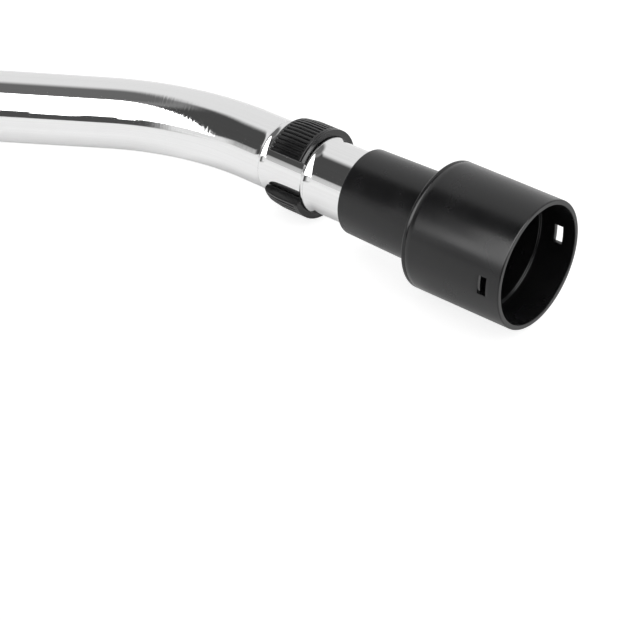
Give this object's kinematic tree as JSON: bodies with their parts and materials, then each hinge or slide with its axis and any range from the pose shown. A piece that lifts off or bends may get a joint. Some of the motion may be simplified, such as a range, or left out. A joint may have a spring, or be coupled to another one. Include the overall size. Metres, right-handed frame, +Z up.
{
  "type": "vacuum hose handle",
  "caption": "Bent chrome tube handle for a vacuum hose, with a ribbed air-control ring that turns on the tube and a stepped plastic socket for the hose cuff.",
  "frame": {"origin": "centre of the tube's open wand end, on the straight grip's axis", "axes": "+X along the straight grip away from its open end, +Z up as the handle lies on a table, and the tube bends towards -Y"},
  "size_m": [0.3625, 0.1696, 0.0606],
  "materials": {
    "chrome_tube": "bright chrome plating",
    "ring_plastic": "satin black moulding",
    "socket_plastic": "satin black moulding"
  },
  "bodies": {
    "handle": {"bent_tube": "chrome_tube", "hose_socket": "socket_plastic"},
    "ring": {"air_control_ring": "ring_plastic"}
  },
  "joints": [
    {"name": "ring_turn", "type": "hinge", "parent": "handle", "child": "ring", "pos_m": [0.25627, -0.0478, 0.00591], "axis": [0.7071, -0.7018, 0.0867], "continuous": true}
  ]
}
